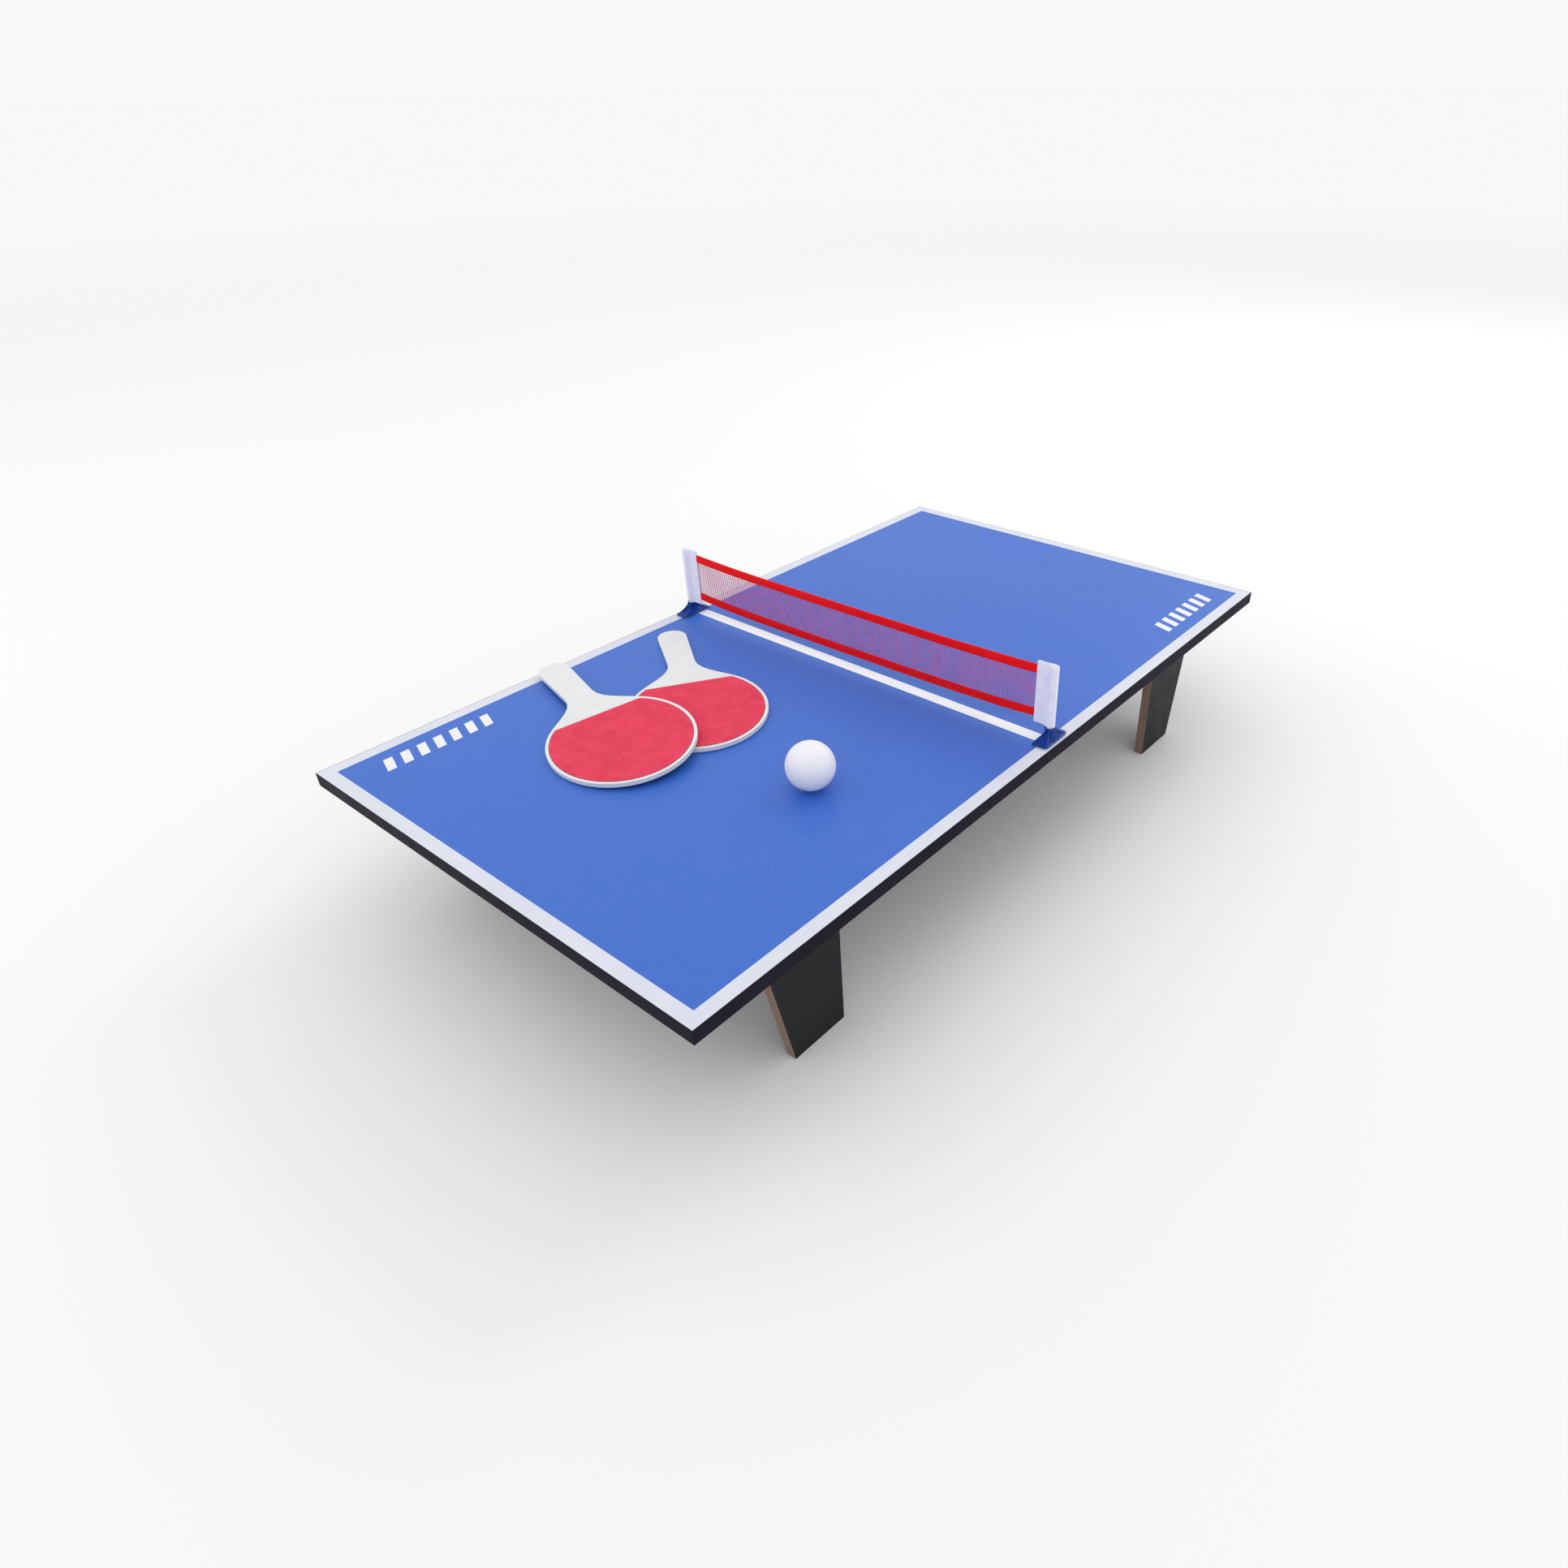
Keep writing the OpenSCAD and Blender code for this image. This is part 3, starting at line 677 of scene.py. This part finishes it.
def build_foot(node, name):
    low, high = square_box(node)
    middle = (low + high) / 2
    half_l, half_w, tall = middle.x - low.x, high.y - middle.y, high.z - low.z
    bm = bmesh.new()
    start = bmesh.ops.create_circle(bm, segments=AROUND, radius=1.0)["verts"]
    ring = bm.edges[:]
    bmesh.ops.contextual_create(bm, geom=ring)

    def lay(verts, share, z):
        for v in verts:
            angle = math.atan2(v.co.y - (middle.y if v.co.z else 0), v.co.x - (middle.x if v.co.z else 0))
            r = foot_radius(angle, half_l, half_w, share)
            v.co = Vector((middle.x + r * math.cos(angle), middle.y + r * math.sin(angle), z))

    lay(start, 0, low.z)
    heights = [(0, low.z + PLATE_T)]
    heights += [(max(k / RINGS, 0.001), low.z + PLATE_T + (tall - PLATE_T) * k / RINGS)
                for k in range(RINGS + 1)]
    for share, z in heights:
        ring, ring_verts = draw_on(bm, ring)
        lay(ring_verts, share, z)
    for z in (high.z, low.z + BORE_FLOOR):
        ring, ring_verts = draw_on(bm, ring)
        for v in ring_verts:
            out = Vector((v.co.x - middle.x, v.co.y - middle.y, 0)).normalized()
            v.co = Vector((middle.x, middle.y, z)) + out * BORE_R
    bmesh.ops.contextual_create(bm, geom=ring)
    bmesh.ops.recalc_face_normals(bm, faces=bm.faces)
    rims = [e for e in bm.edges if len(e.link_faces) == 2 and e.calc_face_angle(0) > math.radians(60)]
    bmesh.ops.bevel(bm, geom=rims, offset=0.25 * MM, offset_type="OFFSET", segments=2, profile=0.5,
                    affect="EDGES", clamp_overlap=True, material=-1)
    return keep_turned(name, bm, ["base_blue"], body_of(node), "base_blue", [node])


for end in ("front", "back"):
    foot = build_foot(f"net_base_{end}", f"net_foot_{end}")
    pad = merged_copy(f"net_pad_{end}")
    soften(pad, 0.25 * MM)
    foam = keep_piece(f"foam_pad_{end}", pad, ["foam_pad"], "table", "foam_pad", [f"net_pad_{end}"],
                      even=True)
    post = merged_copy(f"net_post_{end}")
    soften(post, 1.0 * MM, segments=4)
    keep_piece(f"net_tube_{end}", post, ["post_white"], body_of(f"net_post_{end}"), "post_white",
               [f"net_post_{end}"], even=True)
print("net feet:", 2, "faces each:", len(foot.data.polygons))

# %% [markdown]
# ## Net sleeves
# A sleeve is one strip of cotton folded round the post and sewn along both edges and across the top. It is
# drawn up from a circle flattened to that section: it bulges round the post and is thin at the seams,
# where the rolled hems stand a little proud. Slow noise gives the slack cloth its dents, a Solidify
# modifier its thickness, and each stitch is a small bead of thread.

# %% Build the sleeves
SLEEVE_RINGS, SLEEVE_AROUND = 38, 64
CLOTH_T = 0.35 * MM
SEAM_HALF = 1.1 * MM
BULGE = 2.45 * MM
POST_IN, SWELL_WIDE = 5.6 * MM, 13 * MM
HEM_IN = 1.3 * MM
CORNER_R, CLOSE_OVER = 1.3 * MM, 3.5 * MM
SLEEVE_STITCH = (0.16 * MM, 1.7 * MM)
SLEEVE_STEP = 2.4 * MM


def sleeve_half(s, z, low, high, post_side):
    """Half the sleeve's thickness at s across it and height z."""
    half_w = (high.y - low.y) / 2
    top = min(1.0, max(0.0, (high.z - z) / CLOSE_OVER))
    closing = math.sqrt(max(0.0, 1 - (1 - top) ** 2 * 0.86))
    swell = math.cos(max(-0.5, min(0.5, (s - post_side * POST_IN) / SWELL_WIDE)) * math.pi) ** 2
    hem = 0.22 * MM * math.exp(-(((abs(s) - half_w + 0.5 * MM) / (0.45 * MM)) ** 2))
    foot_hem = 0.18 * MM * math.exp(-(((z - low.z - 1.2 * MM) / (1.0 * MM)) ** 2))
    return (SEAM_HALF + BULGE * swell) * closing + hem * closing + foot_hem


def add_stitch(bm, place, along, thread, length):
    """One bead of thread lying along a direction."""
    turned = Vector((1, 0, 0)).rotation_difference(along).to_matrix().to_4x4()
    shape = Matrix.Translation(place) @ turned @ Matrix.Diagonal((length / 2, thread, thread, 1))
    bmesh.ops.create_icosphere(bm, subdivisions=1, radius=1.0, matrix=shape)


def build_sleeve(end):
    low, high = square_box(f"net_sleeve_{end}")
    middle = (low + high) / 2
    half_w = middle.y - low.y
    post_side = 1 if end == "back" else -1
    bm = bmesh.new()
    start = bmesh.ops.create_circle(bm, segments=SLEEVE_AROUND, radius=1.0)["verts"]
    angles = {v: math.atan2(v.co.y, v.co.x) for v in start}
    ring = bm.edges[:]

    def lay(angle, z):
        near_top = max(0.0, z - (high.z - CORNER_R))
        narrow = CORNER_R - math.sqrt(max(0.0, CORNER_R ** 2 - near_top ** 2))
        s = (half_w - narrow) * math.cos(angle)
        thick = sleeve_half(s, z, low, high, post_side)
        side = math.copysign(min(1.0, abs(math.sin(angle)) * 3.0), math.sin(angle))
        dent = noise.noise(Vector((side * 3, s * 90, z * 55 + post_side))) * 0.45 * MM
        lean = noise.noise(Vector((7.0 * post_side, 0.5, z * 30))) * 0.4 * MM
        inside = 0.4 if abs(s) < half_w - 2 * MM else 0.12
        return Vector((middle.x + side * (thick + dent * inside - 0.1 * MM),
                       middle.y + s + lean * 0.5 * (high.z - z) / (high.z - low.z), z))

    for v in start:
        v.co = lay(angles[v], low.z)
    for k in range(1, SLEEVE_RINGS + 1):
        z = low.z + (high.z - low.z) * (1 - (1 - k / SLEEVE_RINGS) ** 1.15)
        ring, drawn_verts = draw_on(bm, ring)
        lower = {v: next(e.other_vert(v) for e in v.link_edges if e not in ring) for v in drawn_verts}
        for v in drawn_verts:
            angles[v] = angles[lower[v]]
            v.co = lay(angles[v], z)
    for v in draw_on(bm, ring)[1]:
        v.co.x = middle.x
    bmesh.ops.remove_doubles(bm, verts=bm.verts, dist=0.01 * MM)
    bmesh.ops.recalc_face_normals(bm, faces=bm.faces)
    cloth = keep_turned(f"sleeve_cloth_{end}", bm, ["sleeve_white"], "net", "sleeve_white",
                        [f"net_sleeve_{end}"])
    wall = cloth.modifiers.new("cloth_thickness", "SOLIDIFY")
    wall.thickness = CLOTH_T
    wall.offset = -1

    thread = bmesh.new()
    for face_side in (-1, 1):
        for edge_side in (-1, 1):
            s = edge_side * (half_w - HEM_IN)
            for k in range(int((high.z - low.z - 4 * MM) / SLEEVE_STEP)):
                z = low.z + 2 * MM + (k + 0.5) * SLEEVE_STEP
                x = middle.x + face_side * (sleeve_half(s, z, low, high, post_side) - 0.02 * MM)
                add_stitch(thread, Vector((x, middle.y + s, z)), Vector((0, 0, 1)), *SLEEVE_STITCH)
        z = low.z + 2.6 * MM
        for k in range(int(2 * (half_w - 2.5 * MM) / SLEEVE_STEP)):
            s = -half_w + 2.5 * MM + (k + 0.5) * SLEEVE_STEP
            x = middle.x + face_side * (sleeve_half(s, z, low, high, post_side) + 0.02 * MM)
            add_stitch(thread, Vector((x, middle.y + s, z)), Vector((0, 1, 0)), *SLEEVE_STITCH)
    stitches = keep_turned(f"sleeve_stitches_{end}", thread, ["sleeve_thread"], "net", "sleeve_white")
    return cloth


for end in ("front", "back"):
    sleeve = build_sleeve(end)
print("sleeve faces:", len(sleeve.data.polygons))

# %% [markdown]
# ## Net cloth
# The net is knotted from thread about 0.4 mm thick, two millimetres apart. A picture with holes
# would vanish from the side, so the threads are real: a grid is laid out, hung between the posts with the
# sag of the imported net, puckered a little, and turned into a wire frame.

# %% Build the net cloth
MESH_PITCH = 2.0 * MM
THREAD_W = 0.39 * MM
TUCK, UNDER_TAPE = 1.0 * MM, 2 * MM
net_low, net_high = square_box("net_mesh")
NET_X = (net_low.x + net_high.x) / 2
NET_HALF = net_high.y
tape_low, tape_high = square_box("net_bottom_tape")
top_low, top_high = square_box("net_top_tape")
TAPE_W = 8.0 * MM
TOP_SAG = top_high.z - top_low.z - TAPE_W
LOW_SAG = tape_high.z - tape_low.z - TAPE_W


def drop(y, sag):
    """How far the net hangs down at y: flat along the middle, rising near the posts."""
    return -sag * (1 - (min(abs(y), NET_HALF) / NET_HALF) ** 4)


def pucker(y, z):
    """Sideways waves of the cloth, stronger towards the back post."""
    slack = 0.35 + 0.65 * max(0.0, y / NET_HALF)
    return slack * (noise.noise(Vector((y * 28, z * 20, 3.1))) * 1.3 * MM
                    + noise.noise(Vector((y * 9, z * 30, 8.7))) * 1.6 * MM)


def build_net_cloth():
    low_z = tape_high.z - UNDER_TAPE
    high_z = top_high.z - TAPE_W + UNDER_TAPE
    rows = round((high_z - low_z) / MESH_PITCH)
    columns = round(2 * (NET_HALF + TUCK) / MESH_PITCH)
    bm = bmesh.new()
    bmesh.ops.create_grid(bm, x_segments=columns, y_segments=rows, size=1.0)
    for v in bm.verts:
        y, share = v.co.x * (NET_HALF + TUCK), (v.co.y + 1) / 2
        z = low_z + drop(y, LOW_SAG) + share * (high_z - low_z + drop(y, TOP_SAG) - drop(y, LOW_SAG))
        held = math.sin(math.pi * share) * min(1.0, (NET_HALF - abs(y) + TUCK) / (12 * MM))
        v.co = Vector((NET_X + pucker(y, z) * max(0.0, held), y, z))
    bmesh.ops.recalc_face_normals(bm, faces=bm.faces)
    bmesh.ops.wireframe(bm, faces=bm.faces, thickness=2 * THREAD_W, offset=0.0, use_replace=True,
                        use_boundary=True, use_even_offset=False)
    netting = keep_turned("net_cloth", bm, ["mesh_pink"], "net", "mesh_pink", ["net_mesh"])
    return netting


netting = build_net_cloth()
print("net threads:", len(netting.data.polygons), "faces")

# %% [markdown]
# ## Binding tapes
# A red tape is folded over each long edge of the net and sewn through. Its section is drawn as a few
# points, a long U with a crease at half height, and drawn along the net in short steps that follow the
# sag. The steps also wander sideways a little, as sewn tape does.

# %% Build the tapes
TAPE_STEP = 3.0 * MM
TAPE_HALF = 0.62 * MM
CREASE = 0.38 * MM
TAPE_STITCH = (0.15 * MM, 2.0 * MM)
STITCH_PITCH, STITCH_IN = 3.0 * MM, 1.3 * MM


def sway(y, fold_up):
    """How far the tape wanders sideways at y, and how far it tips; both die out at its ends."""
    free = min(1.0, (NET_HALF + TUCK - abs(y)) / (15 * MM))
    return (noise.noise(Vector((y * 22, fold_up * 2.3, 0.4))) * 0.5 * MM * free,
            noise.noise(Vector((y * 16, fold_up * 5.1, 4.4))) * 0.07 * free)


def build_tape(name, node, sag, edge_z, fold_up):
    """fold_up is 1 where the fold is the upper edge, and -1 where it is the lower."""
    bm = bmesh.new()
    side = [(TAPE_HALF, -TAPE_W), (TAPE_HALF + CREASE * 0.6, -TAPE_W * 0.75),
            (TAPE_HALF + CREASE, -TAPE_W * 0.5), (TAPE_HALF + CREASE * 0.4, -TAPE_W * 0.25),
            (TAPE_HALF, -TAPE_W * 0.10), (TAPE_HALF * 0.6, -0.1 * MM)]
    section = [(-x, z) for x, z in side] + [(0, 0)] + [(x, z) for x, z in reversed(side)]
    start_y = -NET_HALF - TUCK
    points = [bm.verts.new((x, 0, z * fold_up)) for x, z in section]
    line = [bm.edges.new(pair) for pair in zip(points, points[1:])]
    steps = math.ceil(2 * (NET_HALF + TUCK) / TAPE_STEP)
    rows = [list(points)]
    for _ in range(steps):
        line, row = draw_on(bm, line)
        rows.append(row)
    for k, row in enumerate(rows):
        y = start_y + 2 * (NET_HALF + TUCK) * k / steps
        wander, tip = sway(y, fold_up)
        for v in row:
            rise = v.co.z
            v.co = Vector((NET_X + v.co.x + wander + tip * rise, y, edge_z + rise + drop(y, sag)))
    bmesh.ops.recalc_face_normals(bm, faces=bm.faces)
    outward = sum(f.normal.x * (f.calc_center_median().x - NET_X) for f in bm.faces)
    if outward < 0:
        bmesh.ops.reverse_faces(bm, faces=bm.faces)
    tape = keep_turned(name, bm, ["tape_red"], "net", "tape_red", [node])
    wall = tape.modifiers.new("tape_thickness", "SOLIDIFY")
    wall.thickness = CLOTH_T
    wall.offset = -1

    thread = bmesh.new()
    rise = -fold_up * (TAPE_W - STITCH_IN)
    for k in range(int(2 * NET_HALF / STITCH_PITCH)):
        y = -NET_HALF + (k + 0.5) * STITCH_PITCH
        z = edge_z + drop(y, sag) + rise
        slope = (drop(y + MM, sag) - drop(y - MM, sag)) / (2 * MM)
        wander, tip = sway(y, fold_up)
        for face_side in (-1, 1):
            x = NET_X + wander + tip * rise + face_side * (TAPE_HALF + CREASE * 0.42)
            add_stitch(thread, Vector((x, y, z)), Vector((0, 1, slope)).normalized(), *TAPE_STITCH)
    stitches = keep_turned(f"{name}_stitches", thread, ["tape_thread"], "net", "tape_red")


build_tape("top_tape", "net_top_tape", TOP_SAG, top_high.z, 1)
build_tape("bottom_tape", "net_bottom_tape", LOW_SAG, tape_high.z - TAPE_W, -1)
print("sag of the tapes in mm:", round(TOP_SAG / MM, 2), round(LOW_SAG / MM, 2))

# %% [markdown]
# ## Bats
# A bat's body is one white moulding, a rim round the blade and a handle. Its packed outline is right, so
# the copy only gets its moulded radius. The rubber is a sheet with short pimples on a triangular grid: the
# packed sheet's outer face is sunk a little, and a six-sided stub stands at each grid point inside it. The
# sheet's cut walls and edge strip are painted dark red, a painted shade for the shadowed gap between the
# rubber and the rim.

# %% Build the bats
PIMPLE_PITCH = 2.1 * MM
PIMPLE_TALL = 0.40 * MM
PIMPLE_R = 0.62 * MM
PIMPLE_TOP_R = 0.45 * MM
RUBBER_MARGIN = 1.1 * MM
# The first width is the bevel strip round the rubber that carries the painted shade of the gap
PAINTED_SHADE_EDGE, BLADE_SOFT = 0.55 * MM, 0.45 * MM
DOUBLINGS = 6


def centre_of(node):
    low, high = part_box(node)
    return (low + high) / 2


def inside_by(point, outline):
    """Distance from a flat point to the outline, below 0 outside it."""
    near, crossings = math.inf, 0
    for a, b in zip(outline, outline[1:] + outline[:1]):
        edge, to = b - a, point - a
        share = max(0.0, min(1.0, to.dot(edge) / edge.length_squared))
        near = min(near, (to - edge * share).length)
        if (a.y > point.y) != (b.y > point.y):
            crossings += point.x < a.x + (point.y - a.y) / (b.y - a.y) * edge.x
    return near if crossings % 2 else -near


def build_stub_field():
    """One stub at the origin, pointing up, repeated to a triangular grid that is wider than a blade."""
    bm = bmesh.new()
    bmesh.ops.create_cone(bm, cap_ends=True, segments=6, radius1=PIMPLE_R, radius2=PIMPLE_TOP_R,
                          depth=PIMPLE_TALL)
    rise = PIMPLE_PITCH * math.sqrt(3) / 2
    steps = [(PIMPLE_PITCH * 2 ** k, 0) for k in range(DOUBLINGS)] + [(PIMPLE_PITCH / 2, rise)]
    steps += [(0, 2 * rise * 2 ** k) for k in range(DOUBLINGS)]
    for x, y in steps:
        copied = bmesh.ops.duplicate(bm, geom=bm.verts[:] + bm.edges[:] + bm.faces[:])["geom"]
        bmesh.ops.translate(bm, verts=[g for g in copied if isinstance(g, bmesh.types.BMVert)], vec=(x, y, 0))
    middle = Vector((PIMPLE_PITCH * 2 ** (DOUBLINGS - 1), rise * 2 ** DOUBLINGS, 0))
    bmesh.ops.translate(bm, verts=bm.verts, vec=-middle)
    mesh = bpy.data.meshes.new("stub_field")
    bm.to_mesh(mesh)
    bm.free()
    return mesh


stub_field = build_stub_field()


def build_rubber(node, other):
    bm = merged_copy(node)
    away = centre_of(node) - centre_of(other)
    faces = sorted(bm.faces, key=lambda f: -f.calc_area())[:2]
    face = max(faces, key=lambda f: f.normal.dot(away))
    up = face.normal.copy()
    origin = face.calc_center_median()
    cut = max(face.edges, key=lambda e: e.calc_length())
    across = (cut.verts[1].co - cut.verts[0].co).normalized()
    along = up.cross(across)
    flat = [Vector(((v.co - origin).dot(across), (v.co - origin).dot(along))) for v in face.verts]
    bmesh.ops.translate(bm, verts=list(face.verts), vec=-up * PIMPLE_TALL)
    # The sheet's walls and edge strips take slot 1, the painted shade of the gap round the rubber
    for wall in [f for f in bm.faces if abs(f.normal.dot(up)) < 0.5]:
        wall.material_index = 1
    soften(bm, PAINTED_SHADE_EDGE, segments=1, finish=1)
    stubs = bmesh.new()
    stubs.from_mesh(stub_field)
    tops = [f for f in stubs.faces if len(f.verts) == 6 and f.normal.z > 0.9]
    spare = [f for f in tops if inside_by(f.calc_center_median().xy, flat) < RUBBER_MARGIN]
    count = len(tops) - len(spare)
    loose = dict.fromkeys(v for f in spare for e in f.edges for g in e.link_faces for v in g.verts)
    bmesh.ops.delete(stubs, geom=list(loose), context="VERTS")
    turned = Matrix((across, along, up)).transposed().to_4x4()
    seat = Matrix.Translation(origin - up * (PIMPLE_TALL / 2 + 0.01 * MM)) @ turned
    bmesh.ops.transform(stubs, matrix=seat, verts=stubs.verts)
    kept = bpy.data.meshes.new("kept_stubs")
    stubs.to_mesh(kept)
    stubs.free()
    bm.from_mesh(kept)
    bpy.data.meshes.remove(kept)
    keep_piece(f"{node}_sheet", bm, ["rubber_red", "rubber_edge_painted_shade"], body_of(node), "rubber_red", [node])
    return count


for bat in ("lower_bat", "upper_bat"):
    blade = merged_copy(f"{bat}_body")
    soften(blade, BLADE_SOFT, segments=3)
    keep_piece(f"{bat}_blade", blade, ["bat_white"], bat, "bat_white", [f"{bat}_body"], even=True)
    for side, other in (("front", "back"), ("back", "front")):
        pimples = build_rubber(f"{bat}_{side}_rubber", f"{bat}_{other}_rubber")
print("pimples on a rubber:", pimples)

# %% [markdown]
# ## Ball
# A ball is welded from two cups, so a fine seam runs round it, and a small nub is left where the mould was
# filled. The sphere is cut by planes close together at the seam, the middle ring is drawn in, and the nub
# is a short stub with rounded edges.

# %% Build the ball
SEAM_WIDE, SEAM_DEEP = 0.35 * MM, 0.07 * MM
NUB_R, NUB_TALL = 2.0 * MM, 1.2 * MM
NUB_AWAY = Vector((-0.71, -0.17, -0.68)).normalized()
NUB_SUNK = 0.12 * MM


def build_ball():
    low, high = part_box("ball")
    middle, radius = (low + high) / 2, (high.z - low.z) / 2
    seam_axis = Vector((0.55, 0.35, 0.76)).normalized()
    turned = Vector((0, 0, 1)).rotation_difference(seam_axis).to_matrix().to_4x4()
    bm = bmesh.new()
    bmesh.ops.create_uvsphere(bm, u_segments=96, v_segments=64, radius=radius)
    for offset in (-SEAM_WIDE, -SEAM_WIDE / 2, SEAM_WIDE / 2, SEAM_WIDE):
        bmesh.ops.bisect_plane(bm, geom=bm.verts[:] + bm.edges[:] + bm.faces[:], dist=0.0001 * MM,
                               plane_co=(0, 0, offset), plane_no=(0, 0, 1))
    for v in bm.verts:
        v.co = v.co.normalized() * (radius - SEAM_DEEP * math.exp(-((v.co.z / (SEAM_WIDE * 0.5)) ** 2)))
    bmesh.ops.transform(bm, matrix=Matrix.Translation(middle) @ turned, verts=bm.verts)
    stub = Matrix.Translation(middle + NUB_AWAY * (radius + NUB_TALL / 2 - NUB_SUNK)) @ (
        Vector((0, 0, 1)).rotation_difference(NUB_AWAY).to_matrix().to_4x4())
    made = bmesh.ops.create_cone(bm, cap_ends=True, segments=24, radius1=NUB_R, radius2=NUB_R * 0.75,
                                 depth=NUB_TALL, matrix=stub)["verts"]
    rims = [e for v in made for e in v.link_edges if e.calc_face_angle(0) > math.radians(40)]
    bmesh.ops.bevel(bm, geom=list(dict.fromkeys(rims)), offset=0.12 * MM, offset_type="OFFSET", segments=2,
                    profile=0.5, affect="EDGES", clamp_overlap=True, material=-1)
    return keep_piece("ball_shell", bm, ["ball_white"], "ball", "ball_white", ["ball"])


ball = build_ball()
print("ball faces:", len(ball.data.polygons))
